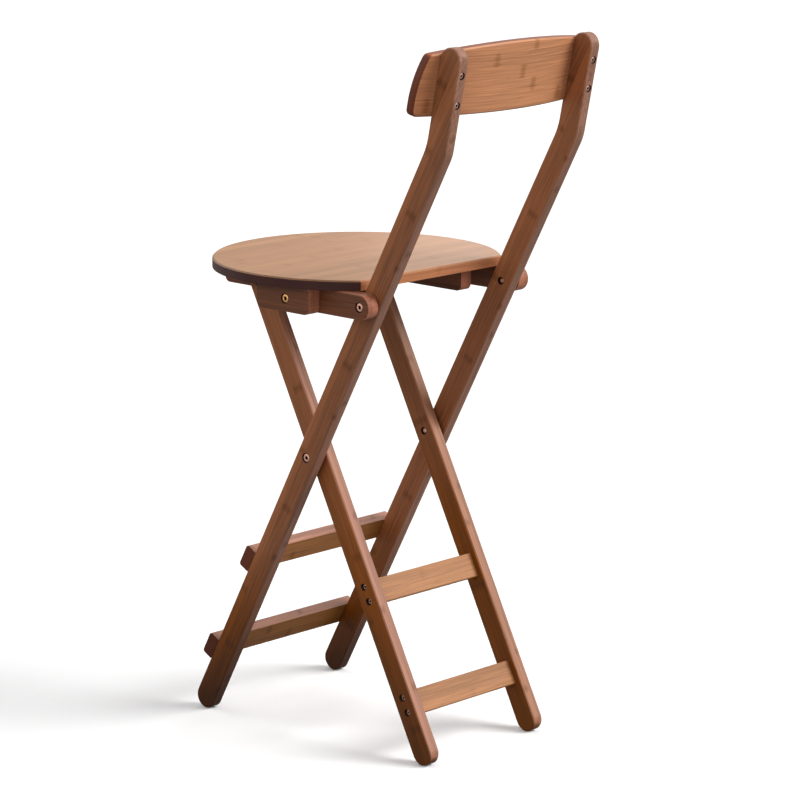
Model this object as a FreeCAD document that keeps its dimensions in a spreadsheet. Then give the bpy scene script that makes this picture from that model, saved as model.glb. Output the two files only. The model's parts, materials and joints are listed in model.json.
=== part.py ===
import FreeCAD, Part
import math
import os
import re
import Sketcher

# A folding bar stool of bamboo boards, standing open on its four feet. +Z is up, the sitter faces -Y,
# and left is +X. Two posts lean back and carry the backrest, two legs cross them inside, and a link on
# each side ties the seat to the posts. Lengths are in millimetres and angles in degrees.

doc = FreeCAD.newDocument("FoldingBarStool")
sizes = doc.addObject("Spreadsheet::Sheet", "Sizes")
layout = doc.addObject("Spreadsheet::Sheet", "Layout")
sheet_of = {}


def named(formula, own_sheet=None):
    """Puts the sheet's name before each size in a formula, unless it is the formula's own sheet."""

    def with_sheet(match):
        sheet = sheet_of.get(match.group())
        if sheet is None or sheet is own_sheet:
            return match.group()
        return f"{sheet.Name}.{match.group()}"

    return re.sub(r"[a-z]\w*", with_sheet, formula)


def add_cell(sheet, name, content):
    row = list(sheet_of.values()).count(sheet) + 1
    sheet.set(f"A{row}", name)
    sheet.set(f"B{row}", content)
    sheet.setAlias(f"B{row}", name)
    sheet_of[name] = sheet


def derive(name, formula):
    """A dimension that follows from others."""
    add_cell(layout, name, "=" + named(formula, layout))


# The driving dimensions, which go into the sheet Sizes
driving_sizes = {
    # Stance: how the posts and legs cross, seen from the side
    "post_lean": 28.2,
    "leg_lean": 27.1,
    "pivot_height": 636.5,
    "cross_height": 405.6,
    # Posts and legs
    "post_width": 35,
    "post_thickness": 18,
    "post_lower_length": 951.7,
    "post_upper_length": 123.5,
    "post_bend": 16.6,
    "post_bend_rear_radius": 60,
    "post_bend_front_radius": 90,
    "leg_thickness": 18,
    "leg_spacing": 196.4,
    "nesting_clearance": 0.3,
    "board_edge_chamfer": 1.6,
    # Gaps between the boards that turn beside each other
    "cross_gap": 6,
    "arm_gap": 0.8,
    "block_gap": 0.8,
    "batten_gap": 1,
    # Seat
    "seat_radius": 203,
    "seat_cut": 145.4,
    "seat_thickness": 14,
    "seat_ahead_of_arm": 161.6,
    "seat_edge_chamfer": 2,
    "seat_corner_radius": 6,
    "seat_lock_clearance": 0.5,
    # Links, battens and blocks under the seat
    "link_width": 35,
    "link_thickness": 21,
    "batten_thickness": 20,
    "batten_depth": 31.5,
    "batten_ahead_of_pivot": 85.6,
    "batten_rear_setback": 17.4,
    "batten_corner_radius": 9,
    "block_thickness": 21,
    "block_depth": 36,
    "block_ahead_of_pivot": 54,
    "block_behind_pivot": 46,
    "block_corner_radius": 9,
    # Rungs, placed along the posts and legs from the centres of their round feet
    "rung_width": 35,
    "front_rung_thickness": 18,
    "front_rung_upper_place": 239.1,
    "front_rung_lower_place": 75.7,
    "front_rung_edge_radius": 4,
    "rear_rung_thickness": 14,
    "rear_rung_upper_place": 231.4,
    "rear_rung_lower_place": 69.8,
    "rear_rung_edge_radius": 2,
    # Backrest, placed along the upper posts from their bend
    "backrest_thickness": 12,
    "backrest_curve_radius": 700,
    "backrest_half_width": 170,
    "backrest_top_half_width": 156,
    "backrest_bottom_place": 42.6,
    "backrest_straight_end_place": 60,
    "backrest_top_place": 139,
    "backrest_top_radius": 980,
    "backrest_corner_radius": 9,
    "backrest_edge_chamfer": 2,
    # Pivot pins
    "head_radius": 5.8,
    "head_height": 4,
    "head_sink": 1,
    "socket_radius": 2.9,
    "socket_depth": 2.6,
    "barrel_radius": 4,
    "end_sink": 2.5,
    "end_recess_radius": 5.6,
    "end_recess_depth": 3,
    "spacer_radius": 9,
    "running_fit": 0.05,
    "recess_clearance": 1.2,
    "turning_clearance": 0.1,
    # Counterbored holes over the wood screws
    "screw_hole_radius": 4.2,
    "rung_hole_depth": 6.4,
    "rung_hole_pitch": 21.4,
    "backrest_hole_depth": 4.6,
    "backrest_hole_place": 67,
    "backrest_hole_pitch": 40.3,
}
for size_name, size_value in driving_sizes.items():
    add_cell(sizes, size_name, str(size_value))

# Side view: the distances of the four pivots. The link is as long as lets the seat fold flat
derive("rise", "pivot_height - cross_height")
derive("cross_to_arm", "rise / cos(post_lean)")
derive("cross_to_leg_top", "rise / cos(leg_lean)")
derive("arm_behind_cross", "rise * tan(post_lean)")
derive("leg_top_ahead_of_cross", "rise * tan(leg_lean)")
derive("arm_to_leg_top", "arm_behind_cross + leg_top_ahead_of_cross")
derive("link_length", "(arm_to_leg_top - cross_to_arm + cross_to_leg_top) / 2")
derive("leg_width", "post_width - 2 * nesting_clearance")
derive("leg_length", "(pivot_height - leg_width / 2) / cos(leg_lean)")
derive("upper_lean", "post_lean - post_bend")
derive("post_cross_place", "(cross_height - post_width / 2) / cos(post_lean)")
derive("post_arm_place", "post_cross_place + cross_to_arm")
derive("leg_cross_place", "leg_length - cross_to_leg_top")

# Side view: where things are along Y, with the whole stool centred on Y = 0
derive("foot_ahead_of_cross", "post_cross_place * sin(post_lean)")
derive("bend_behind_cross", "post_lower_length * sin(post_lean) - foot_ahead_of_cross")
derive("top_behind_cross", "bend_behind_cross + post_upper_length * sin(upper_lean) + post_width / 2")
derive("front_ahead_of_cross", "seat_ahead_of_arm + seat_radius - arm_behind_cross")
derive("cross_y", "(front_ahead_of_cross - top_behind_cross) / 2")
derive("post_foot_y", "cross_y - foot_ahead_of_cross")
derive("leg_foot_y", "cross_y + leg_cross_place * sin(leg_lean)")
derive("bend_y", "cross_y + bend_behind_cross")
derive("bend_z", "post_width / 2 + post_lower_length * cos(post_lean)")
derive("arm_y", "cross_y + arm_behind_cross")
derive("leg_top_y", "cross_y - leg_top_ahead_of_cross")
derive("link_front_y", "arm_y - link_length")
derive("seat_y", "arm_y - seat_ahead_of_arm")
derive("under_seat", "link_width / 2 + seat_lock_clearance")
derive("batten_behind_pivot", "seat_y + seat_cut - batten_rear_setback - leg_top_y")
derive("seat_chord", "sqrt(seat_radius ^ 2 - seat_cut ^ 2)")

# Front view: the layers of boards outwards from the middle
derive("leg_inner", "leg_spacing / 2")
derive("leg_outer", "leg_inner + leg_thickness")
derive("post_inner", "leg_outer + cross_gap")
derive("post_outer", "post_inner + post_thickness")
derive("post_middle", "(post_inner + post_outer) / 2")
derive("link_inner", "post_outer + arm_gap")
derive("link_outer", "link_inner + link_thickness")
derive("block_inner", "link_outer + block_gap")
derive("block_outer", "block_inner + block_thickness")
derive("batten_outer", "leg_inner - batten_gap")
derive("batten_inner", "batten_outer - batten_thickness")
derive("batten_middle", "(batten_inner + batten_outer) / 2")
derive("block_middle", "(block_inner + block_outer) / 2")

# The backrest's rear face meets the posts' front edges along their outer corners
derive("backrest_bulge", "backrest_curve_radius - sqrt(backrest_curve_radius ^ 2 - post_outer ^ 2)")
derive("backrest_rear", "backrest_bulge - post_width / 2")
derive("backrest_axis", "backrest_rear - backrest_curve_radius")
derive("backrest_top_centre", "backrest_top_place - backrest_top_radius")
derive("backrest_corner_rise", "sqrt(backrest_top_radius ^ 2 - backrest_top_half_width ^ 2)")
derive("backrest_corner_place", "backrest_top_centre + backrest_corner_rise")
derive("backrest_end_inset", "backrest_half_width - backrest_top_half_width")
derive("backrest_end_rise", "backrest_corner_place - backrest_straight_end_place")
derive("backrest_end_radius", "backrest_end_inset / 2 + backrest_end_rise ^ 2 / (2 * backrest_end_inset)")
derive("backrest_end_centre", "backrest_half_width - backrest_end_radius")
derive("backrest_end_depth", "backrest_axis + sqrt(backrest_curve_radius ^ 2 - backrest_half_width ^ 2)")

# Recesses and bores of the pivots
derive("recess_radius", "head_radius + recess_clearance")
derive("recess_depth", "head_sink + head_height + turning_clearance")
derive("bore_radius", "barrel_radius + running_fit")

doc.recompute()


def number(formula):
    """The value of a formula of named sizes."""
    value = layout.evalExpression(named(formula))
    return float(getattr(value, "Value", value))


def new_piece(label, turn=None, y="0", z="0"):
    """A piece whose own frame lies at (0, y, z), turned about X by the formula in turn."""
    body = doc.addObject("PartDesign::Body", label)
    body.Label = label
    if turn:
        body.Placement = FreeCAD.Placement(FreeCAD.Vector(), FreeCAD.Rotation(FreeCAD.Vector(1, 0, 0), 1))
        body.setExpression(".Placement.Rotation.Angle", named(turn))
    body.setExpression(".Placement.Base.y", named(y))
    body.setExpression(".Placement.Base.z", named(z))
    return body


def post_frame(label):
    """A piece drawn along the posts, from the centres of their feet."""
    return new_piece(label, "-post_lean", "post_foot_y", "post_width / 2")


def leg_frame(label):
    """A piece drawn along the legs, from the centres of their feet."""
    return new_piece(label, "leg_lean", "leg_foot_y", "leg_width / 2")


def upper_post_frame(label):
    """A piece drawn along the upper posts, from their bend."""
    return new_piece(label, "-upper_lean", "bend_y", "bend_z")


def origin_plane(body, role):
    return next(item for item in body.Origin.OriginFeatures if item.Role == role)


def new_sketch(body, role, offset="0"):
    """A sketch on one of the piece's main planes, moved along its normal."""
    sketch = body.newObject("Sketcher::SketchObject", "Sketch")
    sketch.AttachmentSupport = [(origin_plane(body, role), "")]
    sketch.MapMode = "FlatFace"
    sketch.setExpression(".AttachmentOffset.Base.z", named(offset))
    doc.recompute()
    return sketch


def fix_point(sketch, edge, point, x=None, y=None):
    """Ties a point of an edge to formulas of named sizes."""
    for direction, formula in (("DistanceX", x), ("DistanceY", y)):
        if formula is not None:
            index = sketch.addConstraint(Sketcher.Constraint(direction, edge, point, number(formula)))
            sketch.setExpression(f"Constraints[{index}]", named(formula))


def draw_outline(sketch, stops):
    """Draws a closed outline. A stop is a corner (x, y) that a line leaves, or a corner and a centre
    (x, y, centre_x, centre_y), where an arc about that centre leaves it anticlockwise."""
    corners = [FreeCAD.Vector(number(stop[0]), number(stop[1]), 0) for stop in stops]
    first_edge = sketch.GeometryCount
    last_edge = first_edge + len(stops) - 1
    for index, stop in enumerate(stops):
        start = corners[index]
        end = corners[(index + 1) % len(corners)]
        if len(stop) == 2:
            sketch.addGeometry(Part.LineSegment(start, end), False)
            continue
        centre = FreeCAD.Vector(number(stop[2]), number(stop[3]), 0)
        start_angle = math.atan2(start.y - centre.y, start.x - centre.x)
        end_angle = math.atan2(end.y - centre.y, end.x - centre.x)
        if end_angle < start_angle:
            end_angle += 2 * math.pi
        circle = Part.Circle(centre, FreeCAD.Vector(0, 0, 1), start.distanceToPoint(centre))
        sketch.addGeometry(Part.ArcOfCircle(circle, start_angle, end_angle), False)
    for index, stop in enumerate(stops):
        edge = first_edge + index
        following = first_edge if edge == last_edge else edge + 1
        sketch.addConstraint(Sketcher.Constraint("Coincident", edge, 2, following, 1))
        fix_point(sketch, edge, 1, stop[0], stop[1])
        if len(stop) == 4:
            chord = corners[(index + 1) % len(corners)] - corners[index]
            if abs(chord.x) > abs(chord.y):
                fix_point(sketch, edge, 3, y=stop[3])
            else:
                fix_point(sketch, edge, 3, x=stop[2])


def draw_circle(sketch, x, y, radius):
    circle = Part.Circle(FreeCAD.Vector(number(x), number(y), 0), FreeCAD.Vector(0, 0, 1), number(radius))
    edge = sketch.addGeometry(circle, False)
    fix_point(sketch, edge, 3, x, y)
    index = sketch.addConstraint(Sketcher.Constraint("Radius", edge, number(radius)))
    sketch.setExpression(f"Constraints[{index}]", named(radius))


def rectangle(left, right, bottom, top):
    return [(left, bottom), (right, bottom), (right, top), (left, top)]


def pad(body, sketch, length, both_ways=True):
    feature = body.newObject("PartDesign::Pad", "Pad")
    feature.Profile = sketch
    feature.SideType = "Symmetric" if both_ways else "One side"
    feature.setExpression("Length", named(length))
    doc.recompute()
    return feature


def pocket_through(body, sketch):
    """Cuts a sketch's outline out of the piece, both ways from the sketch."""
    feature = body.newObject("PartDesign::Pocket", "Pocket")
    feature.Profile = sketch
    feature.Type = "ThroughAll"
    feature.SideType = "Symmetric"
    doc.recompute()
    return feature


def round_edges(body, radius, wanted):
    """Rounds those edges of the piece for which wanted(edge) is true."""
    base = body.Tip
    names = [f"Edge{index}" for index, edge in enumerate(base.Shape.Edges, 1) if wanted(edge)]
    feature = body.newObject("PartDesign::Fillet", "Round")
    feature.Base = (base, names)
    feature.setExpression("Radius", named(radius))
    doc.recompute()
    return feature


def chamfer_edges(body, chamfer, wanted):
    """Bevels those edges of the piece for which wanted(edge) is true."""
    base = body.Tip
    names = [f"Edge{index}" for index, edge in enumerate(base.Shape.Edges, 1) if wanted(edge)]
    feature = body.newObject("PartDesign::Chamfer", "Bevel")
    feature.Base = (base, names)
    feature.setExpression("Size", named(chamfer))
    doc.recompute()
    return feature


def side_edges(edge):
    """True for the edges of a board's two broad faces that face along X."""
    box = edge.BoundBox
    return box.XLength < 0.001


def edges_along_x(edge):
    box = edge.BoundBox
    return box.XLength > 1 and box.YLength < 0.001 and box.ZLength < 0.001


def turn_profile(body, kind, sketch, steps, centre, along="x"):
    """Turns a stepped profile about a line of the sketch. Each step is (place, radius): from that place on
    the profile has that radius, and the last step is the place where it ends."""

    def place(distance, height):
        return (distance, height) if along == "x" else (height, distance)

    stops = [place(steps[0][0], centre), place(steps[-1][0], centre)]
    for step, following in reversed(list(zip(steps, steps[1:]))):
        stops.append(place(following[0], f"{centre} + {step[1]}"))
        stops.append(place(step[0], f"{centre} + {step[1]}"))
    draw_outline(sketch, stops)
    ends = [FreeCAD.Vector(number(stop[0]), number(stop[1]), 0) for stop in stops[:2]]
    axis = sketch.addGeometry(Part.LineSegment(ends[0], ends[1]), True)
    fix_point(sketch, axis, 1, *stops[0])
    fix_point(sketch, axis, 2, *stops[1])
    feature = body.newObject(f"PartDesign::{kind}", kind)
    feature.Profile = sketch
    feature.ReferenceAxis = (sketch, ["Axis0"])
    feature.Angle = 360
    doc.recompute()
    return feature


def repeat(body, original, pairs, mirrored=True):
    """Repeats a feature in pairs, each (sketch axis, pitch), and across the stool's middle plane."""
    pattern = body.newObject("PartDesign::MultiTransform", "Repeat")
    pattern.Originals = [original]
    steps = []
    for axis, pitch in pairs:
        step = body.newObject("PartDesign::LinearPattern", "Pair")
        step.Direction = (original.Profile[0], [axis])
        step.Occurrences = 2
        step.setExpression("Length", named(pitch))
        steps.append(step)
    if mirrored:
        step = body.newObject("PartDesign::Mirrored", "Mirror")
        step.MirrorPlane = (origin_plane(body, "YZ_Plane"), [""])
        steps.append(step)
    pattern.Transformations = steps
    body.Tip = pattern
    doc.recompute()
    return pattern


def cut_head_hole(body, side, outer_face, inner_face, z, offset="0"):
    """A pivot's hole through a board, with a recess for the pin's head in the board's outer face."""
    steps = [
        (f"{side} * ({outer_face} + 1)", "recess_radius"),
        (f"{side} * ({outer_face} - recess_depth)", "bore_radius"),
        (f"{side} * ({inner_face} - 1)", None),
    ]
    turn_profile(body, "Groove", new_sketch(body, "XZ_Plane", offset), steps, z)


def cut_end_hole(body, side, outer_face, inner_face, z, offset="0"):
    """A pivot's hole through a board, wider round the pin's end in the board's inner face."""
    steps = [
        (f"{side} * ({inner_face} - 1)", "end_recess_radius"),
        (f"{side} * ({inner_face} + end_recess_depth)", "bore_radius"),
        (f"{side} * ({outer_face} + 1)", None),
    ]
    turn_profile(body, "Groove", new_sketch(body, "XZ_Plane", offset), steps, z)


def cut_plain_hole(body, side, outer_face, inner_face, z, offset="0"):
    """A pivot's plain hole through a board."""
    steps = [(f"{side} * ({inner_face} - 1)", "bore_radius"), (f"{side} * ({outer_face} + 1)", None)]
    turn_profile(body, "Groove", new_sketch(body, "XZ_Plane", offset), steps, z)


SIDES = (("left", 1), ("right", -1))


def make_post(name, side):
    """A back post: a board with a round foot and top, bent forward below the backrest."""
    body = post_frame(f"post_{name}")
    sketch = new_sketch(body, "YZ_Plane", f"{side} * post_middle")
    half = "post_width / 2"
    mitre = "post_width / 2 * tan(post_bend / 2)"
    top_y = "-post_upper_length * sin(post_bend)"
    top_z = "post_lower_length + post_upper_length * cos(post_bend)"
    rear_top = (f"{top_y} + {half} * cos(post_bend)", f"{top_z} + {half} * sin(post_bend)")
    front_top = (f"{top_y} - {half} * cos(post_bend)", f"{top_z} - {half} * sin(post_bend)")
    stops = [
        (half, "0"),
        (half, f"post_lower_length + {mitre}"),
        (*rear_top, top_y, top_z),
        front_top,
        (f"-{half}", f"post_lower_length - {mitre}"),
        (f"-{half}", "0", "0", "0"),
    ]
    draw_outline(sketch, stops)
    pad(body, sketch, "post_thickness")

    def at_bend(edge, rear):
        middle = edge.BoundBox.Center
        near_bend = abs(middle.z - number("post_lower_length")) < number("post_width / 2")
        return edges_along_x(edge) and near_bend and (middle.y > 0) == rear

    round_edges(body, "post_bend_rear_radius", lambda edge: at_bend(edge, True))
    round_edges(body, "post_bend_front_radius", lambda edge: at_bend(edge, False))
    chamfer_edges(body, "board_edge_chamfer", side_edges)
    cut_head_hole(body, side, "post_outer", "post_inner", "post_cross_place")
    cut_end_hole(body, side, "post_outer", "post_inner", "post_arm_place")

    sketch = new_sketch(body, "YZ_Plane", f"{side} * post_middle")
    sketch.setExpression(".AttachmentOffset.Base.y", named("post_lower_length"))
    sketch.setExpression(".AttachmentOffset.Rotation.Angle", named("post_bend"))
    steps = [("post_width / 2 + 1", "screw_hole_radius"), ("post_width / 2 - backrest_hole_depth", None)]
    hole = turn_profile(body, "Groove", sketch, steps, "backrest_hole_place")
    repeat(body, hole, [("V_Axis", "backrest_hole_pitch")], mirrored=False)
    return body


def make_backrest():
    """The backrest: a thin board curved about an upright axis, with an arched top and swept-in ends."""
    body = upper_post_frame("backrest")
    sketch = new_sketch(body, "XZ_Plane", "-(backrest_rear + 1)")
    end_place = "backrest_straight_end_place"
    stops = [
        ("-backrest_half_width", "backrest_bottom_place"),
        ("backrest_half_width", "backrest_bottom_place"),
        ("backrest_half_width", end_place, "backrest_end_centre", end_place),
        ("backrest_top_half_width", "backrest_corner_place", "0", "backrest_top_centre"),
        ("-backrest_top_half_width", "backrest_corner_place", "-backrest_end_centre", end_place),
        ("-backrest_half_width", end_place),
    ]
    draw_outline(sketch, stops)
    pad(body, sketch, "backrest_rear - backrest_end_depth + 1.5 * backrest_thickness", both_ways=False)

    def corner(edge):
        box = edge.BoundBox
        across = box.YLength > 1 and box.XLength < 0.001
        return across and abs(box.ZMin - number("backrest_straight_end_place")) > 0.01

    round_edges(body, "backrest_corner_radius", corner)

    front = new_sketch(body, "XY_Plane")
    draw_circle(front, "0", "backrest_axis", "backrest_curve_radius - backrest_thickness")
    pocket_through(body, front)
    rear = new_sketch(body, "XY_Plane")
    around = "(backrest_curve_radius + backrest_thickness)"
    box = rectangle(f"-{around}", around, f"backrest_axis - {around}", f"backrest_axis + {around}")
    draw_outline(rear, box)
    draw_circle(rear, "0", "backrest_axis", "backrest_curve_radius")
    pocket_through(body, rear)
    chamfer_edges(body, "backrest_edge_chamfer", lambda edge: edge.BoundBox.DiagonalLength > 0.01)

    post_seat = new_sketch(body, "XY_Plane")
    seat_inner = "post_inner - nesting_clearance"
    draw_outline(post_seat, rectangle(seat_inner, "post_outer + 1", "-post_width / 2", "backrest_rear + 1"))
    repeat(body, pocket_through(body, post_seat), [])
    return body


def make_front_rung(name, place):
    """A rung on the posts' front edges, with rounded front corners."""
    body = post_frame(f"front_rung_{name}")
    sketch = new_sketch(body, "YZ_Plane")
    front = "(-post_width / 2 - front_rung_thickness)"
    sides = (f"{place} - rung_width / 2", f"{place} + rung_width / 2")
    draw_outline(sketch, rectangle(front, "-post_width / 2", *sides))
    pad(body, sketch, "2 * post_outer")

    def front_corner(edge):
        return edges_along_x(edge) and edge.BoundBox.YMax < number("-post_width / 2") - 0.01

    round_edges(body, "front_rung_edge_radius", front_corner)
    return body


def make_leg(name, side):
    """A crossing leg: a straight board with both ends round, bored over the rear rungs' screws."""
    body = leg_frame(f"leg_{name}")
    sketch = new_sketch(body, "YZ_Plane", f"{side} * (leg_inner + leg_outer) / 2")
    half = "leg_width / 2"
    stops = [
        (half, "0"),
        (half, "leg_length", "0", "leg_length"),
        (f"-{half}", "leg_length"),
        (f"-{half}", "0", "0", "0"),
    ]
    draw_outline(sketch, stops)
    pad(body, sketch, "leg_thickness")
    chamfer_edges(body, "board_edge_chamfer", side_edges)
    cut_end_hole(body, side, "leg_outer", "leg_inner", "leg_cross_place")
    cut_head_hole(body, side, "leg_outer", "leg_inner", "leg_length")

    face = f"{side} * (leg_outer + 1)"
    bottom = f"{side} * (leg_outer - rung_hole_depth)"
    steps = [(face, "screw_hole_radius"), (bottom, None)]
    sketch = new_sketch(body, "XZ_Plane")
    hole = turn_profile(body, "Groove", sketch, steps, "rear_rung_lower_place - rung_hole_pitch / 2")
    rungs = ("V_Axis", "rear_rung_upper_place - rear_rung_lower_place")
    repeat(body, hole, [("V_Axis", "rung_hole_pitch"), rungs], mirrored=False)
    return body


def make_rear_rung(name, place):
    """A thinner rung between the legs, on their centre lines."""
    body = leg_frame(f"rear_rung_{name}")
    sketch = new_sketch(body, "YZ_Plane")
    sides = (f"{place} - rung_width / 2", f"{place} + rung_width / 2")
    draw_outline(sketch, rectangle("-rear_rung_thickness / 2", "rear_rung_thickness / 2", *sides))
    pad(body, sketch, "2 * leg_inner")
    round_edges(body, "rear_rung_edge_radius", edges_along_x)
    return body


def make_link(name, side):
    """A link with round ends, from the post's pivot at its rear to the seat block's at its front."""
    body = new_piece(f"link_{name}", None, "arm_y", "pivot_height")
    sketch = new_sketch(body, "YZ_Plane", f"{side} * (link_inner + link_outer) / 2")
    half = "link_width / 2"
    stops = [
        ("0", f"-{half}", "0", "0"),
        ("0", half),
        ("-link_length", half, "-link_length", "0"),
        ("-link_length", f"-{half}"),
    ]
    draw_outline(sketch, stops)
    pad(body, sketch, "link_thickness")
    cut_head_hole(body, side, "link_outer", "link_inner", "0")
    cut_plain_hole(body, side, "link_outer", "link_inner", "0", "link_length")
    return body


def make_seat_board():
    """The seat: a disc cut straight at the back, with its upper edge bevelled."""
    body = new_piece("seat_board", None, "seat_y", "pivot_height + under_seat")
    sketch = new_sketch(body, "XY_Plane")
    draw_outline(sketch, [("seat_chord", "seat_cut"), ("-seat_chord", "seat_cut", "0", "0")])
    pad(body, sketch, "seat_thickness", both_ways=False)

    def upper_edge(edge):
        return edge.BoundBox.ZMin > number("seat_thickness") - 0.01

    round_edges(body, "seat_corner_radius", lambda edge: edge.BoundBox.ZLength > 1)
    chamfer_edges(body, "seat_edge_chamfer", upper_edge)
    return body


def make_under_seat_board(label, middle, y, thickness, front, rear, depth, corner_radius):
    """A board on edge under the seat, rounded at its lower corners and drawn from its pivot."""
    body = new_piece(label, None, y, "pivot_height")
    sketch = new_sketch(body, "YZ_Plane", middle)
    draw_outline(sketch, rectangle(front, rear, f"under_seat - {depth}", "under_seat"))
    pad(body, sketch, thickness)

    def lower_corner(edge):
        return edges_along_x(edge) and edge.BoundBox.ZMax < 0

    round_edges(body, corner_radius, lower_corner)
    return body


def make_batten(name, side):
    """A batten under the seat, beside the leg's top, which turns on it."""
    body = make_under_seat_board(
        f"seat_batten_{name}",
        f"{side} * batten_middle",
        "leg_top_y",
        "batten_thickness",
        "-batten_ahead_of_pivot",
        "batten_behind_pivot",
        "batten_depth",
        "batten_corner_radius",
    )
    cut_plain_hole(body, side, "batten_outer", "batten_inner", "0")
    return body


def make_block(name, side):
    """A short block under the seat's edge, outside the link, which turns on it."""
    body = make_under_seat_board(
        f"seat_block_{name}",
        f"{side} * block_middle",
        "link_front_y",
        "block_thickness",
        "-block_ahead_of_pivot",
        "block_behind_pivot",
        "block_depth",
        "block_corner_radius",
    )
    cut_head_hole(body, side, "block_outer", "block_inner", "0")
    return body


def make_pins(label, outer_face, end, y, z="pivot_height"):
    """A pivot pin on each side: a head with a key socket, sunk in the outer board, and a barrel."""
    body = new_piece(label, None, y, z)
    face = f"({outer_face} - head_sink)"
    steps = [(face, "head_radius"), (f"{face} - head_height", "barrel_radius"), (end, None)]
    repeat(body, turn_profile(body, "Revolution", new_sketch(body, "XZ_Plane"), steps, "0"), [])

    sketch = new_sketch(body, "YZ_Plane", face)
    corners = [(f"cos({60 * turn})", f"sin({60 * turn})") for turn in range(6)]
    draw_outline(sketch, [(f"socket_radius * {x}", f"socket_radius * {y}") for x, y in corners])
    socket = body.newObject("PartDesign::Pocket", "Socket")
    socket.Profile = sketch
    socket.SideType = "Symmetric"
    socket.setExpression("Length", named("2 * socket_depth"))
    doc.recompute()
    repeat(body, socket, [])
    return body


def make_batten_pins():
    """The other halves of the leg-top pins: plain barrels held in the battens."""
    body = new_piece("batten_pins", None, "leg_top_y", "pivot_height")
    steps = [("batten_inner + end_sink", "barrel_radius"), ("leg_inner - turning_clearance", None)]
    repeat(body, turn_profile(body, "Revolution", new_sketch(body, "XZ_Plane"), steps, "0"), [])
    return body


def make_cross_spacers():
    """A washer round each crossing pin, between the leg and the post."""
    body = new_piece("cross_spacers", None, "cross_y", "cross_height")
    steps = [("leg_outer + turning_clearance", "spacer_radius"), ("post_inner", None)]
    repeat(body, turn_profile(body, "Revolution", new_sketch(body, "XZ_Plane"), steps, "0"), [])
    bore = [("leg_outer - 1", "bore_radius"), ("post_inner + 1", None)]
    repeat(body, turn_profile(body, "Groove", new_sketch(body, "XZ_Plane"), bore, "0"), [])
    return body


nodes = []
for side_name, side_sign in SIDES:
    nodes.append(make_batten(side_name, side_sign))
    nodes.append(make_leg(side_name, side_sign))
    nodes.append(make_post(side_name, side_sign))
    nodes.append(make_link(side_name, side_sign))
    nodes.append(make_block(side_name, side_sign))
nodes.append(make_backrest())
nodes.append(make_front_rung("upper", "front_rung_upper_place"))
nodes.append(make_front_rung("lower", "front_rung_lower_place"))
nodes.append(make_rear_rung("upper", "rear_rung_upper_place"))
nodes.append(make_rear_rung("lower", "rear_rung_lower_place"))
nodes.append(make_seat_board())
nodes.append(make_pins("cross_pins", "post_outer", "leg_inner + end_sink", "cross_y", "cross_height"))
nodes.append(make_pins("arm_pins", "link_outer", "post_inner + end_sink", "arm_y"))
nodes.append(make_pins("seat_pins", "block_outer", "link_inner + end_sink", "link_front_y"))
nodes.append(make_pins("leg_top_pins", "leg_outer", "leg_inner", "leg_top_y"))
nodes.append(make_batten_pins())
nodes.append(make_cross_spacers())
doc.recompute()

for item in doc.Objects:
    if "Invalid" in item.State or "Error" in item.State:
        raise RuntimeError(f"{item.Label} failed to build")
for node in nodes:
    if node.Shape.isNull() or not node.Shape.isValid():
        raise RuntimeError(f"{node.Label} has no valid shape")

os.makedirs("parts", exist_ok=True)
for node in nodes:
    node.Shape.exportStep(f"parts/{node.Label}.step")
    print(node.Label, len(node.Shape.Solids), round(node.Shape.Volume))
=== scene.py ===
import json
import math

import bmesh
import bpy
from mathutils import Matrix, Vector


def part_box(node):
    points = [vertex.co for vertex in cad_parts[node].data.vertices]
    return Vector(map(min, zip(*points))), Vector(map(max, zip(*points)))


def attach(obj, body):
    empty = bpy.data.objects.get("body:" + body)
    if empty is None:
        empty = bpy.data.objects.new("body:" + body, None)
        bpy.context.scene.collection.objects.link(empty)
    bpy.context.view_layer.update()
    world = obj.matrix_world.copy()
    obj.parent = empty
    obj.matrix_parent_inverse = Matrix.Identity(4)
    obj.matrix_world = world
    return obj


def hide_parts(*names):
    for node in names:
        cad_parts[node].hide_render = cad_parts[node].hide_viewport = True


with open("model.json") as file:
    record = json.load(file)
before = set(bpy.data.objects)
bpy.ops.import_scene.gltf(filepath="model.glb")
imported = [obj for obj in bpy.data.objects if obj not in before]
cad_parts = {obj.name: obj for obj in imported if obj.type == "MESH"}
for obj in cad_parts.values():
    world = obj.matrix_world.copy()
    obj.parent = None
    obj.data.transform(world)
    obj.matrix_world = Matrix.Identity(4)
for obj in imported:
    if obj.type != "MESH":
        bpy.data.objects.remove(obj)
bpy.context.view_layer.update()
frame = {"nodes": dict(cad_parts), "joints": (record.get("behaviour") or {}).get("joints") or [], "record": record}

# Camera: from behind the stool and its left, 12 degrees above the level, through a long lens.
# It looks a little behind the crossing of the legs, at half the stool's height.
turn, tilt, roll = math.radians(133.54), math.radians(12.285), math.radians(0.157)
distance = 4.73
crossing = next(Vector(joint["pos_m"]) for joint in frame["joints"] if joint["name"] == "leg_fold")
aim = crossing + Vector((0.0019, 0.0482, 0.0681))
back = Vector((math.sin(turn) * math.cos(tilt), -math.cos(turn) * math.cos(tilt), math.sin(tilt)))
right = Vector((math.cos(turn), math.sin(turn), 0))
up = back.cross(right)
rolled_right = right * math.cos(roll) + up * math.sin(roll)
rolled_up = up * math.cos(roll) - right * math.sin(roll)
camera = bpy.data.objects.new("camera", bpy.data.cameras.new("camera"))
camera.data.lens = 152.2
camera.data.sensor_width = 36
camera.matrix_world = Matrix.Translation(aim + back * distance) @ Matrix(
    (rolled_right, rolled_up, back)
).transposed().to_4x4()
bpy.context.scene.collection.objects.link(camera)
bpy.context.scene.camera = camera
bpy.context.scene.view_settings.view_transform = "Standard"

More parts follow.
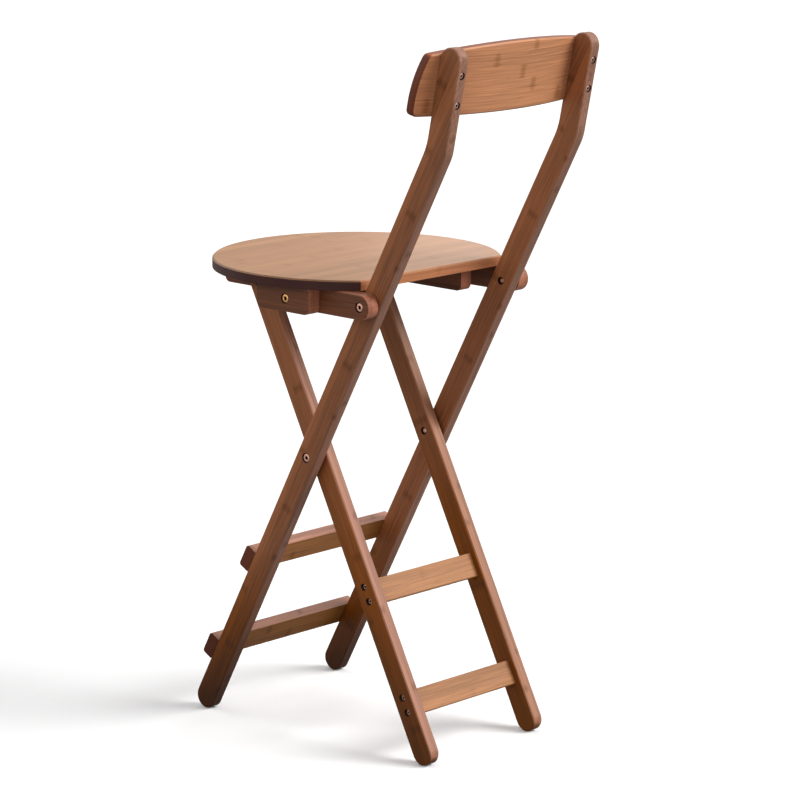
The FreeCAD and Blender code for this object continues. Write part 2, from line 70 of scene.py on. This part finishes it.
# Studio: a broad window high behind the stool on its right, a weaker one in front of it, and a
# reflector on its left. So faces that look up or back are bright, and the boards' left sides and
# undersides are in half shade.


def soft_sun(name, towards, level, spread):
    """Even white light from the direction `towards`, `spread` degrees wide. A white face that it
    strikes squarely shows `level`."""
    light = bpy.data.objects.new(name, bpy.data.lights.new(name, "SUN"))
    light.data.energy = level * math.pi
    light.data.angle = math.radians(spread)
    light.rotation_euler = Vector(towards).to_track_quat("Z", "Y").to_euler()
    bpy.context.scene.collection.objects.link(light)


soft_sun("window behind on the right", towards=(-0.42, 0.65, 0.62), level=0.92, spread=36)
soft_sun("window in front", towards=(0.1, -0.9, 0.45), level=0.25, spread=50)
soft_sun("reflector on the left", towards=(1.0, 0.3, 0.3), level=0.25, spread=60)

# A soft box just above the far side of the seat leaves a pale sheen on that side of its lacquer
box_place, box_aim = Vector((-0.886, -0.503, 0.86)), Vector((-0.18, 0.03, 0.67))
box_width, box_brightness = 0.5, 2.0
box_name = "soft box beyond the seat"
soft_box = bpy.data.objects.new(box_name, bpy.data.lights.new(box_name, "AREA"))
soft_box.data.size = box_width
soft_box.data.energy = box_brightness * math.pi * box_width**2
soft_box.location = box_place
soft_box.rotation_euler = (box_place - box_aim).to_track_quat("Z", "Y").to_euler()
bpy.context.scene.collection.objects.link(soft_box)


def linear(hex_colour):
    """A colour written as sRGB hex, as the linear colour that shaders work in."""
    channels = [int(hex_colour[index:index + 2], 16) / 255 for index in (1, 3, 5)]
    return (*(c / 12.92 if c <= 0.04045 else ((c + 0.055) / 1.055) ** 2.4 for c in channels), 1)


def add_node(tree, kind, inputs=None, **settings):
    """Adds a shader node with its settings, and links or sets its inputs by name or number."""
    node = tree.nodes.new("ShaderNode" + kind)
    for name, value in settings.items():
        setattr(node, name, value)
    for name, value in (inputs or {}).items():
        if isinstance(value, bpy.types.NodeSocket):
            tree.links.new(value, node.inputs[name])
        else:
            node.inputs[name].default_value = value
    return node


# The surround is white where it is seen or mirrored, and less than half as bright where it only
# lights the stool
surround_lighting, surround_seen = 0.45, 1.0
world = bpy.data.worlds.new("white surround")
world.use_nodes = True
tree = world.node_tree
tree.nodes.clear()
ray = add_node(tree, "LightPath")
rays = {0: ray.outputs["Is Camera Ray"], 1: ray.outputs["Is Glossy Ray"]}
seen = add_node(tree, "Math", rays, operation="MAXIMUM").outputs[0]
rays = {0: seen, 1: ray.outputs["Is Transmission Ray"]}
seen = add_node(tree, "Math", rays, operation="MAXIMUM").outputs[0]
level = {"Value": seen, "To Min": surround_lighting, "To Max": surround_seen}
level = add_node(tree, "MapRange", level).outputs[0]
surround = add_node(tree, "Background", {"Color": linear("#ffffff"), "Strength": level})
add_node(tree, "OutputWorld", {"Surface": surround.outputs[0]})
bpy.context.scene.world = world

# The floor looks white, but it throws back less light, so the stool's undersides stay dark. It
# lies a little below the feet, so that the two never share a plane.
floor_reach, floor_drop = 30, 0.0005
corners = [(x * floor_reach, y * floor_reach, 0) for x, y in ((-1, -1), (1, -1), (1, 1), (-1, 1))]
floor_mesh = bpy.data.meshes.new("floor")
floor_mesh.from_pydata(corners, [], [(0, 1, 2, 3)])
floor = bpy.data.objects.new("floor", floor_mesh)
floor.location.z = -floor_drop
floor_paint = bpy.data.materials.new("matt white floor paint")
floor_paint.use_nodes = True
tree = floor_paint.node_tree
mix_low, mix_high, mix_result = 6, 7, 2  # the numbers of a Mix node's colour sockets
ray = add_node(tree, "LightPath").outputs["Is Camera Ray"]
paint = {0: ray, mix_low: linear("#969696"), mix_high: linear("#fdfdfd")}
paint = add_node(tree, "Mix", paint, data_type="RGBA").outputs[mix_result]
shader = tree.nodes["Principled BSDF"]
tree.links.new(paint, shader.inputs["Base Color"])
shader.inputs["Roughness"].default_value = 0.95
shader.inputs["Specular IOR Level"].default_value = 0
floor_mesh.materials.append(floor_paint)
bpy.context.scene.collection.objects.link(floor)

# Posts: two long bamboo boards that lean back and bend upright above the seat. Each is sawn to
# shape, its edges are rounded over, and it has screw holes in its rear edge and a sunk seat for
# each bolt.


def bamboo(
    name,
    along,
    across,
    face,
    others=(),
    strip=18,
    layer=9,
    joint=0.5,
    contrast=1,
    sheen=0.36,
    foot=None,
    curve=0,
):
    """Bamboo pressed from strips of carbonised cane, sanded and lacquered: fine fibres with longer
    streaks, strips that differ a little in tone, and the cane's joints as dark smudges across a
    strip.

    `along` and `across` are the strips' length and width, and `strip` and `layer` are how wide and
    thick they are, in millimetres. `face` holds the (light, dark) tones, and `others` an axis, the
    tones of the sides that look along it, and how nearly they do where these begin. `joint` is how
    strong the joints are, `contrast` the whole grain, and `sheen` how rough the lacquer is. `foot`
    is painted shade near the floor: how dark the wood is painted at the floor, how high that
    reaches, whether it shows on the other sides too, and how much deeper the colour is painted
    there. The fibres of a board that is pressed to a curve follow it, and `curve` is its radius in
    millimetres."""
    material = bpy.data.materials.new(name)
    material.use_nodes = True
    tree = material.node_tree
    tree.nodes.clear()
    coordinates = add_node(tree, "TexCoord")

    # Millimetres along the board, across it and through it
    along, across = Vector(along), Vector(across)
    place = []
    for axis in (along, across, along.cross(across)):
        turned = {0: coordinates.outputs["Object"], 1: axis * 1000}
        turned = add_node(tree, "VectorMath", turned, operation="DOT_PRODUCT")
        place.append(turned.outputs["Value"])
    if curve:
        bulge = add_node(tree, "Math", {0: place[0], 1: place[0]}, operation="MULTIPLY").outputs[0]
        bulge = {0: bulge, 1: -0.5 / curve, 2: place[2]}
        place[2] = add_node(tree, "Math", bulge, operation="MULTIPLY_ADD").outputs[0]
    board = add_node(tree, "CombineXYZ", {0: place[0], 1: place[1], 2: place[2]}).outputs[0]

    # Waves in a millimetre along the board, across it and through it, and how many finer ones they
    # carry. Real fibres are half a millimetre wide, and are drawn 1.7 mm wide to show. Streaks are
    # 2.5 mm wide, and flecks are short dark vessels among the fibres.
    fibre_grain = ((0.014, 0.6, 0.6), 4)
    streak_grain = ((0.005, 0.4, 0.4), 2)
    fleck_grain = ((0.03, 0.55, 0.55), 1)
    patterns = []
    for waves, detail in (fibre_grain, streak_grain, fleck_grain):
        stretched = add_node(tree, "VectorMath", {0: board, 1: waves}, operation="MULTIPLY")
        noise = {"Vector": stretched.outputs[0], "Scale": 1, "Detail": detail}
        patterns.append(add_node(tree, "TexNoise", noise).outputs[0])
    fibres, streaks, flecks = patterns

    # Strips side by side, each of its own tone. The half keeps a cell's number along the board from
    # being minus zero on one side of the middle, which would give a strip two tones.
    cell = {0: board, 1: (0, 1 / strip, 1 / layer), 2: (0.5, 0, 0)}
    cell = add_node(tree, "VectorMath", cell, operation="MULTIPLY_ADD").outputs[0]
    cell = add_node(tree, "VectorMath", {0: cell}, operation="FLOOR").outputs[0]
    strip_tone = add_node(tree, "TexWhiteNoise", {"Vector": cell}, noise_dimensions="3D")
    strip_tone = strip_tone.outputs["Value"]

    # A joint of the cane every quarter of a metre along a strip, at a place of its own on each. It
    # is dark in the middle and fades out about 9 mm to each side, raggedly along the fibres.
    joint_spacing, widest_shift, raggedness = 250.0, 1900.0, 12.0
    fade_from, fade_to = 6.0, 15.0
    shift = {0: strip_tone, 1: widest_shift, 2: place[0]}
    shift = add_node(tree, "Math", shift, operation="MULTIPLY_ADD").outputs[0]
    lap = add_node(tree, "Math", {0: shift, 1: joint_spacing / 2}, operation="PINGPONG").outputs[0]
    ragged = {0: fibres, 1: raggedness, 2: lap}
    ragged = add_node(tree, "Math", ragged, operation="MULTIPLY_ADD").outputs[0]
    band = {"Value": ragged, "From Min": fade_from, "From Max": fade_to}
    band |= {"To Min": joint, "To Max": 0.0}
    band = add_node(tree, "MapRange", band, interpolation_type="SMOOTHSTEP").outputs[0]

    # How light the wood is at each place, about 0.5, to which each pattern adds by its share
    fibre_share, streak_share, strip_share = 1.9, 1.0, 0.6
    tone = 0.5 - 0.5 * contrast * (fibre_share + streak_share + strip_share)
    for pattern, share in (
        (fibres, fibre_share),
        (streaks, streak_share),
        (strip_tone, strip_share),
    ):
        inputs = {0: pattern, 1: share * contrast, 2: tone}
        tone = add_node(tree, "Math", inputs, operation="MULTIPLY_ADD").outputs[0]

    # Painted shade near the floor: the wood is painted darker and deeper in colour towards the floor,
    # darkest up to 2 cm above it
    foot_bottom = 0.02
    foot_shade, foot_top, foot_all_round, foot_depth = foot or (1, 1, False, 1)

    def toned(light, dark, floor_shaded):
        """The wood's colour between two tones, with painted shade near the floor if asked: darker and
        deeper in colour there.
        """
        inputs = {0: tone, mix_low: linear(dark), mix_high: linear(light)}
        colour = add_node(tree, "Mix", inputs, data_type="RGBA").outputs[mix_result]
        if not floor_shaded:
            return colour
        height = add_node(tree, "SeparateXYZ", {0: coordinates.outputs["Object"]}).outputs[2]
        reach = {"Value": height, "From Min": foot_bottom, "From Max": foot_top, "To Max": 1.0}
        shade = add_node(tree, "MapRange", {**reach, "To Min": foot_shade}).outputs[0]
        depth = add_node(tree, "MapRange", {**reach, "To Min": foot_depth}).outputs[0]
        painted_floor_shading = {"Saturation": depth, "Value": shade, "Color": colour}
        return add_node(tree, "HueSaturation", painted_floor_shading).outputs[0]

    # Sides that look along an axis have tones of their own, which come in over `side_fade`: the
    # darker end grain on some boards, painted light and shade on others
    side_fade = 0.3
    colour = toned(*face, bool(foot))
    for axis, light, dark, start in others:
        facing = {0: coordinates.outputs["Normal"], 1: axis}
        facing = add_node(tree, "VectorMath", facing, operation="DOT_PRODUCT").outputs["Value"]
        facing = add_node(tree, "Math", {0: facing}, operation="ABSOLUTE").outputs[0]
        share = {"Value": facing, "From Min": start, "From Max": start + side_fade}
        share = add_node(tree, "MapRange", share).outputs[0]
        inputs = {0: share, mix_low: colour, mix_high: toned(light, dark, foot_all_round)}
        colour = add_node(tree, "Mix", inputs, data_type="RGBA").outputs[mix_result]

    # Joints are darker and redder, and so, faintly, are flecks, at the peaks of their pattern
    peak_from, peak_to, fleck_strength = 0.58, 0.72, 0.2 * contrast
    vessels = {"Value": flecks, "From Min": peak_from, "From Max": peak_to}
    vessels |= {"To Max": fleck_strength}
    vessels = add_node(tree, "MapRange", vessels).outputs[0]
    marks = add_node(tree, "Math", {0: band, 1: vessels}, operation="MAXIMUM").outputs[0]
    burnt = {"Value": 0.4, "Saturation": 1.25, "Color": colour}
    burnt = add_node(tree, "HueSaturation", burnt).outputs[0]
    marked = {0: marks, mix_low: colour, mix_high: burnt}
    colour = add_node(tree, "Mix", marked, data_type="RGBA").outputs[mix_result]

    # The lacquer sinks into the fibres, so they are a little rougher and stand up a little
    rough = add_node(tree, "MapRange", {"Value": fibres, "To Min": sheen, "To Max": sheen + 0.16})
    relief = add_node(tree, "Bump", {"Strength": 0.3, "Distance": 0.0003, "Height": fibres})
    finish = {
        "Base Color": colour,
        "Roughness": rough.outputs[0],
        "Normal": relief.outputs[0],
        "IOR": 1.5,
        "Specular IOR Level": 0.25,
    }
    shader = add_node(tree, "BsdfPrincipled", finish)
    add_node(tree, "OutputMaterial", {"Surface": shader.outputs[0]})
    return material


nodes = frame["nodes"]
bodies = frame["record"]["behaviour"]["bodies"]
body_of = {node: body for body, members in bodies.items() for node in members}
slot_of = {part["node"]: part["material_slot"] for part in frame["record"]["subparts"]}


def dress(name, mesh, body, slot, *stands_for):
    """Puts a finished mesh into the scene as a piece that moves with its body."""
    piece = bpy.data.objects.new(name, mesh)
    bpy.context.scene.collection.objects.link(piece)
    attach(piece, body)
    if stands_for:
        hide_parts(*stands_for)
    return piece


# Painted shade in the holes: the wood inside a hole is painted nearly black, as the shade in it
hole_shade_bamboo = bamboo(
    "bamboo with painted shade inside the holes",
    along=(1, 0, 0),
    across=(0, 1, 0),
    face=("#3a2319", "#24140e"),
    joint=0,
)
edge_turn = math.radians(28)  # a sharper turn is an edge, a lesser one a facet of a curve
widest_hole, screw_hole = 0.01, 0.0042  # their radii: a wider loop of edges is an outline
breakout = 0.24  # the share by which a driver widens a screw hole


def sanded(node, material, rounding, segments=3):
    """A board as the sander leaves it: a copy of its node, with its outer edges rounded over by
    `rounding` metres and its holes painted dark inside, as shade. The screw holes are broken out
    a millimetre wider, as a driver leaves them. Gives back each screw hole's mouth, outward
    direction and depth."""
    work = bmesh.new()
    work.from_mesh(nodes[node].data)
    bmesh.ops.remove_doubles(work, verts=work.verts, dist=1e-6)
    edges = [edge for edge in work.edges if edge.calc_face_angle(0) > edge_turn]
    waiting = set(edges)
    outline, screw_holes = [], []
    for first in edges:
        if first not in waiting:
            continue
        waiting.remove(first)
        loop, growing = [], [first]
        while growing:
            edge = growing.pop()
            loop.append(edge)
            for neighbour in (near for vert in edge.verts for near in vert.link_edges):
                if neighbour in waiting:
                    waiting.remove(neighbour)
                    growing.append(neighbour)
        points = [vert.co for edge in loop for vert in edge.verts]
        mouth = sum(points, Vector()) / len(points)
        radius = max((point - mouth).length for point in points)
        for edge in loop:
            edge.smooth = radius > widest_hole and edge.is_convex
        if radius > widest_hole:
            outline.extend(edge for edge in loop if edge.is_convex)
        elif loop[0].is_convex:
            normals = [face.normal for face in loop[0].link_faces]
            outward = min(normals, key=lambda normal: abs(normal.dot(points[0] - mouth))).copy()
            inside = [
                face for face in work.faces
                if all(outward.cross(vert.co - mouth).length < radius + 1e-5 for vert in face.verts)
            ]
            # The faces inside a hole take the second material, painted shade
            for face in inside:
                face.material_index = 1
            depth = max(outward.dot(mouth - vert.co) for face in inside for vert in face.verts)
            if abs(radius - screw_hole) < 1e-4:
                screw_holes.append((mouth, outward, depth))
                for vert in {vert for face in inside for vert in face.verts}:
                    spoke = vert.co - mouth
                    vert.co += (spoke - outward * outward.dot(spoke)) * breakout
    bmesh.ops.bevel(
        work,
        geom=outline,
        offset=rounding,
        segments=segments,
        profile=0.5,
        affect="EDGES",
        clamp_overlap=True,
    )
    for face in work.faces:
        face.smooth = True
    mesh = bpy.data.meshes.new(node)
    work.to_mesh(mesh)
    work.free()
    mesh.materials.append(material)
    mesh.materials.append(hole_shade_bamboo)
    piece = dress("finished_" + node, mesh, body_of[node], slot_of[node], node)
    piece.modifiers.new("flat faces, round edges", "WEIGHTED_NORMAL").keep_sharp = True
    return screw_holes


post_lean = math.radians(28.2)
post_along = Vector((0, math.sin(post_lean), math.cos(post_lean)))
post_rear = Vector((0, math.cos(post_lean), -math.sin(post_lean)))
# The posts' edges are painted paler and greyer than their sides: the wood's colour with a painted sheen, as the
# rear edges catch the window. Towards the floor the wood is painted darker, as shade.
post_bamboo = bamboo(
    "carbonised bamboo, posts",
    along=post_along,
    across=post_rear,
    face=("#a3755f", "#775444"),
    others=[((1, 0, 0), "#a0623b", "#70442a", 0.55)],
    contrast=0.9,
    foot=(0.2, 0.26, True, 1.3),
)
post_holes = []
for side in ("left", "right"):
    post_holes += sanded(f"post_{side}", post_bamboo, rounding=0.0007, segments=2)

# Backrest: a thin board pressed to a curve, of broad pale strips that run across the stool, with
# the cane's joints plain to see. Its ends are darker, because the cut fibres drink the stain.
upper_lean = math.radians(11.6)
# Painted shade: where the board curves round towards its ends it is painted darker and redder, as it turns away
# from the window there, and its top and bottom edges are painted darker than its face.
backrest_bamboo = bamboo(
    "carbonised bamboo, backrest",
    along=(1, 0, 0),
    across=(0, math.sin(upper_lean), math.cos(upper_lean)),
    face=("#d59368", "#9f6d4c"),
    others=[
        ((0, 0, 1), "#935941", "#6e402d", 0.6),
        ((1, 0, 0), "#b96a3e", "#824728", 0.12),
        ((1, 0, 0), "#6d3318", "#522510", 0.4),
    ],
    strip=19,
    layer=1000,
    joint=0.45,
    contrast=0.8,
    curve=700,
)
sanded("backrest", backrest_bamboo, rounding=0.0012)

# Front rungs: two boards screwed on the posts' front edges, where the sitter's feet rest. The same
# bamboo as the posts, a little paler, and dark at its cut ends. Their top and bottom edges are
# painted paler and pinker, a painted highlight where light falls on the tops, and towards the
# floor the wood is painted darker, as shade.
front_rung_bamboo = bamboo(
    "carbonised bamboo, front rungs",
    along=(1, 0, 0),
    across=post_along,
    face=("#bb7c44", "#85572e"),
    others=[(post_along, "#cd9278", "#9a6d59", 0.55), ((1, 0, 0), "#6d3219", "#4e220f", 0.45)],
    foot=(0.45, 0.3, True, 1.05),
)
for level_name in ("upper", "lower"):
    sanded(f"front_rung_{level_name}", front_rung_bamboo, rounding=0.0015)

# Legs: the crossing boards inside the posts, as dark on their sides. Their rear edges, which look
# up to the light, are painted paler and warmer than the sides, a painted sheen, and towards the
# floor the wood is painted darker, as shade. The right leg is painted a little yellower and less
# dark near the floor, as painted light from the window on its side. Holes in the legs' outer
# sides take the screws that hold the rear rungs.
leg_lean = math.radians(27.1)
leg_along = Vector((0, -math.sin(leg_lean), math.cos(leg_lean)))
leg_rear = Vector((0, math.cos(leg_lean), math.sin(leg_lean)))
leg_holes = []
for side, foot_shade, side_tones, rear_tones in (
    ("left", 0.36, ("#a1623a", "#744628"), ("#b27c63", "#875d4a")),
    ("right", 0.6, ("#a26035", "#744522"), ("#b57e5f", "#895e48")),
):
    leg_bamboo = bamboo(
        f"carbonised bamboo, {side} leg",
        along=leg_along,
        across=leg_rear,
        face=side_tones,
        others=[(leg_rear, *rear_tones, 0.55)],
        contrast=0.9,
        foot=(foot_shade, 0.42, False, 1.3),
    )
    leg_holes += sanded(f"leg_{side}", leg_bamboo, rounding=0.0007, segments=2)

# Rear rungs: two thin boards of paler bamboo that hold the legs apart. They are screwed between
# the legs through the legs' outer sides, and hardly a joint of the cane shows in them.
rear_rung_bamboo = bamboo(
    "lightly carbonised bamboo, rear rungs",
    along=(1, 0, 0),
    across=leg_along,
    face=("#b57d52", "#8b5f3d"),
    joint=0.15,
)
for level_name in ("upper", "lower"):
    sanded(f"rear_rung_{level_name}", rear_rung_bamboo, rounding=0.0008, segments=2)

# Links, and the battens and blocks under the seat: short dark boards that lie along the stool, well
# rounded, with bolts through them. Battens and blocks are screwed to the seat from below. Their
# sides are painted darker, as painted shade under the seat, and their ends, top and bottom are
# painted paler, as painted light from the window.
level_bamboo = bamboo(
    "carbonised bamboo, links and battens",
    along=(0, 1, 0),
    across=(0, 0, 1),
    face=("#b67458", "#8d5842"),
    others=[((1, 0, 0), "#73442a", "#502e1b", 0.55)],
)
for side in ("left", "right"):
    sanded(f"link_{side}", level_bamboo, rounding=0.002)
    sanded(f"seat_block_{side}", level_bamboo, rounding=0.002)
    sanded(f"seat_batten_{side}", level_bamboo, rounding=0.002)

# Seat: a round board cut straight at the back, of pale strips that run from side to side under a
# satin lacquer. The cut ends of its strips make the sides of the rim nearly black, and the back
# edge is tan.
seat_bamboo = bamboo(
    "lightly carbonised bamboo, seat",
    along=(1, 0, 0),
    across=(0, 1, 0),
    face=("#cc8459", "#996241"),
    others=[((1, 0, 0), "#411c16", "#30130e", 0.15), ((0, 0, 1), "#bb8a63", "#986f50", 0.55)],
    strip=20,
    joint=0.2,
    contrast=0.8,
    sheen=0.45,
)
sanded("seat_board", seat_bamboo, rounding=0.0008, segments=2)

# Bolts: turned brass with a broad flat head and a hexagonal key socket, sunk in the outer board of
# each pivot. The seat's are yellow brass and the others redder.


def turned_metal(name, colour, roughness):
    """Metal turned on a lathe and brushed, so it looks soft rather than mirror-like, and tarnished
    in patches. The scratches are finer than a tenth of a millimetre, and are drawn 1 mm wide to
    show. The patches are 4 mm wide."""
    material = bpy.data.materials.new(name)
    material.use_nodes = True
    tree = material.node_tree
    shader = tree.nodes["Principled BSDF"]
    coordinates = add_node(tree, "TexCoord")
    scratches = {"Vector": coordinates.outputs["Object"], "Scale": 900, "Detail": 3}
    scratches = add_node(tree, "TexNoise", scratches).outputs[0]
    spread = {"Value": scratches, "To Min": roughness - 0.08, "To Max": roughness + 0.1}
    tree.links.new(add_node(tree, "MapRange", spread).outputs[0], shader.inputs["Roughness"])
    tarnish = {"Vector": coordinates.outputs["Object"], "Scale": 260, "Detail": 2}
    tarnish = add_node(tree, "TexNoise", tarnish).outputs[0]
    bright = {"Value": tarnish, "To Min": 0.8, "To Max": 1.12}
    bright = add_node(tree, "MapRange", bright).outputs[0]
    tinted = add_node(tree, "HueSaturation", {"Value": bright, "Color": linear(colour)}).outputs[0]
    tree.links.new(tinted, shader.inputs["Base Color"])
    shader.inputs["Metallic"].default_value = 1
    return material


def add_turned(work, face, outward, dark_rings, rings):
    """Adds one solid turned about `outward`, from the bottom of its socket to its far end. Each
    ring is a radius, or a function of the turn, and a depth below `face`. The first `dark_rings`
    are the socket."""
    side = outward.orthogonal().normalized()
    over = outward.cross(side)
    steps = 48
    previous = None
    for index, (radius, depth) in enumerate(rings):
        circle = []
        for step in range(steps):
            turn = math.tau * step / steps
            reach = radius(turn) if callable(radius) else radius
            spoke = side * math.cos(turn) + over * math.sin(turn)
            circle.append(work.verts.new(face - outward * depth + spoke * reach))
        if previous:
            new_faces = [
                work.faces.new((previous[step - 1], previous[step], circle[step], circle[step - 1]))
                for step in range(steps)
            ]
        else:
            new_faces = [work.faces.new(circle)]
        # The socket's faces take the second material, painted shade
        for new_face in new_faces:
            new_face.material_index = 1 if index < dark_rings else 0
        previous = circle
    work.faces.new(previous)


def turned_mesh(name, work, *materials):
    """The finished mesh, smooth but for the edges that the tool leaves."""
    tool_edge = math.radians(30)
    bmesh.ops.recalc_face_normals(work, faces=work.faces)
    for face in work.faces:
        face.smooth = True
    for edge in work.edges:
        edge.smooth = edge.calc_face_angle(0) < tool_edge
    mesh = bpy.data.meshes.new(name)
    work.to_mesh(mesh)
    work.free()
    for material in materials:
        mesh.materials.append(material)
    return mesh


key_corner, key_depth, key_bevel = 0.0029, 0.0026, 0.0003


def hexagon(turn):
    """How far the key socket reaches at a turn about the bolt."""
    from_flat = math.fmod(turn, math.radians(60)) - math.radians(30)
    return key_corner * math.cos(math.radians(30)) / math.cos(from_flat)


# Painted shade: the key and cross sockets are painted nearly black, as the shade inside them, so
# they read as holes
socket_shade = turned_metal("painted shade in the sockets", "#2a1c16", 0.6)
yellow_brass = turned_metal("turned brass, seat bolts", "#ffc47e", 0.3)
red_brass = turned_metal("turned red brass, frame bolts", "#f6bca8", 0.3)
head_radius, head_height = 0.0058, 0.004
head_edge = ((-0.0009, 0.0), (-0.0003, 0.00025), (0.0, 0.0009))  # rounded, out from the flat
barrel_radius, barrel_bevel = 0.004, 0.0012
for node, metal in (
    ("cross_pins", red_brass),
    ("arm_pins", red_brass),
    ("seat_pins", yellow_brass),
    ("leg_top_pins", red_brass),
):
    low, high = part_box(node)
    inner = min(abs(vert.co.x) for vert in nodes[node].data.vertices)
    length = high[0] - inner
    work = bmesh.new()
    for sign in (1, -1):
        face = Vector((sign * high[0], (low[1] + high[1]) / 2, (low[2] + high[2]) / 2))
        add_turned(work, face, Vector((sign, 0, 0)), 2, [
            (hexagon, key_depth),
            (hexagon, key_bevel),
            (lambda turn: hexagon(turn) + key_bevel, 0.0),
            *((head_radius + out, down) for out, down in head_edge),
            (head_radius, head_height),
            (barrel_radius, head_height),
            (barrel_radius, length - barrel_bevel),
            (barrel_radius - barrel_bevel, length),
        ])
    bolt_mesh = turned_mesh(node, work, metal, socket_shade)
    dress("bolts_" + node, bolt_mesh, body_of[node], slot_of[node], node)

# The battens' halves of the leg-top bolts are plain turned pins
low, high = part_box("batten_pins")
inner = min(abs(vert.co.x) for vert in nodes["batten_pins"].data.vertices)
work = bmesh.new()
for sign in (1, -1):
    face = Vector((sign * inner, (low[1] + high[1]) / 2, (low[2] + high[2]) / 2))
    add_turned(work, face, Vector((-sign, 0, 0)), 0, [
        (barrel_radius - barrel_bevel, 0.0),
        (barrel_radius, barrel_bevel),
        (barrel_radius, high[0] - inner),
    ])
bolt_mesh = turned_mesh("batten_pins", work, red_brass)
slot = slot_of["batten_pins"]
dress("bolts_batten_pins", bolt_mesh, body_of["batten_pins"], slot, "batten_pins")

# Spacers: moulded black nylon washers on the cross bolts, which keep leg and post from rubbing.
# They are dull with a faint sheen. The mould's mottle is drawn 2 mm wide to show.
nylon = bpy.data.materials.new("moulded black nylon")
nylon.use_nodes = True
tree = nylon.node_tree
shader = tree.nodes["Principled BSDF"]
coordinates = add_node(tree, "TexCoord")
mottle = {"Vector": coordinates.outputs["Object"], "Scale": 500, "Detail": 3}
mottle = add_node(tree, "TexNoise", mottle).outputs[0]
shade = {0: mottle, mix_low: linear("#1d1815"), mix_high: linear("#352b26")}
shade = add_node(tree, "Mix", shade, data_type="RGBA").outputs[mix_result]
rough = add_node(tree, "MapRange", {"Value": mottle, "To Min": 0.5, "To Max": 0.7}).outputs[0]
tree.links.new(shade, shader.inputs["Base Color"])
tree.links.new(rough, shader.inputs["Roughness"])
nodes["cross_spacers"].data.materials.clear()
nodes["cross_spacers"].data.materials.append(nylon)

# Wood screws: pan heads with a cross socket, of plated steel gone dull. They sit at the bottom of
# the holes in the posts' rear edges and the legs' sides. Under the seat and on the front rungs they
# are driven in until their heads are all but flush.
dull_plating = turned_metal("dull plated steel, wood screws", "#e4b7a4", 0.45)
cross_reach, cross_half_width, cross_depth, cross_bevel = 0.0021, 0.0008, 0.0016, 0.0001
pan_edge = ((-0.001, 0.0001), (-0.0003, 0.0005), (0.0, 0.0012))  # domed, out from the top
shank_radius, shank_length = 0.0018, 0.0036


def cross_socket(turn):
    """How far the cross socket reaches at a turn about the screw."""
    from_arm = math.fmod(turn + math.radians(45), math.radians(90)) - math.radians(45)
    return min(cross_reach, cross_half_width / max(abs(math.sin(from_arm)), 1e-6))


def add_screw(work, face, outward, radius=0.0036, height=0.0024):
    """Adds a screw whose pan head has this radius and height, and its top at `face`."""
    add_turned(work, face, outward, 2, [
        (cross_socket, cross_depth),
        (cross_socket, cross_bevel),
        (lambda turn: cross_socket(turn) + cross_bevel, 0.0),
        *((radius + out, down) for out, down in pan_edge),
        (radius, height),
        (shank_radius, height),
        (shank_radius, height + shank_length),
    ])


sunk_radius, sunk_height = 0.0044, 0.0034
for body, holes in (("stand", post_holes), ("legs", leg_holes)):
    work = bmesh.new()
    for mouth, outward, depth in holes:
        top = mouth - outward * (depth - sunk_height)
        add_screw(work, top, outward, sunk_radius, sunk_height)
    screw_mesh = turned_mesh(body + "_screws", work, dull_plating, socket_shade)
    dress(body + "_screws", screw_mesh, body, "zinc_screws")

# Two screws at each end of a front rung go into the post behind it
rung_half_thickness, proud = 0.009, 0.0002
post_middle, screw_step = 0.1312, 0.0085
work = bmesh.new()
for level_name in ("upper", "lower"):
    low, high = (Vector(corner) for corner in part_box("front_rung_" + level_name))
    front = (low + high) / 2 - post_rear * rung_half_thickness
    for x in (post_middle, -post_middle):
        for step in (screw_step, -screw_step):
            top = front + Vector((x, 0, 0)) + post_along * step - post_rear * proud
            add_screw(work, top, -post_rear)
screw_mesh = turned_mesh("rung_screws", work, dull_plating, socket_shade)
dress("rung_screws", screw_mesh, "stand", "zinc_screws")

# Two screws go up through each batten and block into the seat, at these places along the stool
batten_screws, block_screws = (-0.19, 0.035), (-0.055, 0.012)
work = bmesh.new()
for node, places in (("seat_batten", batten_screws), ("seat_block", block_screws)):
    low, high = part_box(node + "_left")
    for y in places:
        for sign in (1, -1):
            top = Vector((sign * (low[0] + high[0]) / 2, y, low[2] - proud))
            add_screw(work, top, Vector((0, 0, -1)))
screw_mesh = turned_mesh("seat_screws", work, dull_plating, socket_shade)
dress("seat_screws", screw_mesh, "seat", "zinc_screws")
